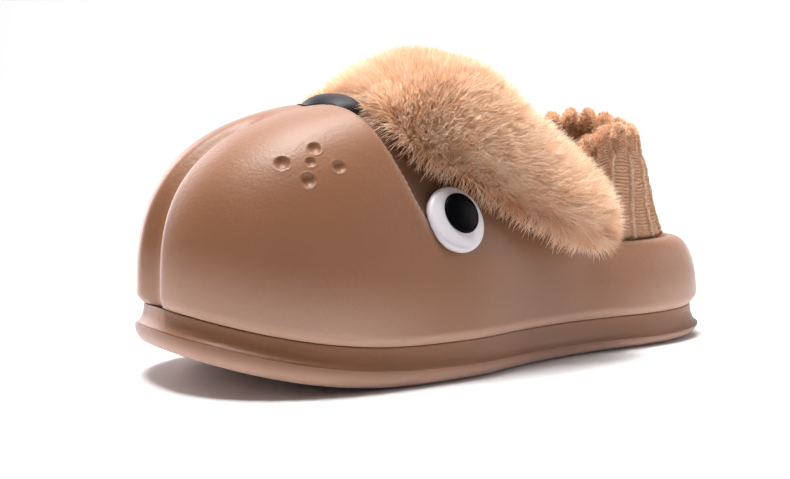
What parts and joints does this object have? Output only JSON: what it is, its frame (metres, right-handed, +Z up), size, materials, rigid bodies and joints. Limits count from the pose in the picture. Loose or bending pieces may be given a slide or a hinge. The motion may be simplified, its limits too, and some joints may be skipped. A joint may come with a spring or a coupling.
{
  "type": "animal slipper",
  "caption": "Left dog-faced foam slipper with a big muzzle, whisker pits, button eyes and nose, a fur band with floppy ears and a ribbed plush cuff round the heel",
  "frame": {"origin": "Bottom centre of the slipper's box: on the floor plane, midway between toe and heel and midway between the two sides of the fur.", "axes": "+Z up. +Y from the toe to the heel, so the toe points to -Y. +X towards the outer side of the left foot, -X towards its inner side."},
  "size_m": [0.1214, 0.28, 0.134],
  "materials": {
    "brown foam": "satin moulded foam",
    "brown foam band": "satin moulded foam",
    "footbed plush": "short plush",
    "ribbed plush": "gathered plush rib",
    "tan plush": "deep soft pile",
    "eye white": "satin white",
    "pupil black": "gloss black",
    "nose black": "satin black"
  },
  "bodies": {
    "root": {"outsole": "brown foam", "midsole": "brown foam band", "insole": "footbed plush", "upper": "brown foam", "heel_cuff": "ribbed plush", "fur_ears": "tan plush", "eye_white_left": "eye white", "pupil_left": "pupil black", "eye_white_right": "eye white", "pupil_right": "pupil black", "nose": "nose black"}
  },
  "joints": []
}
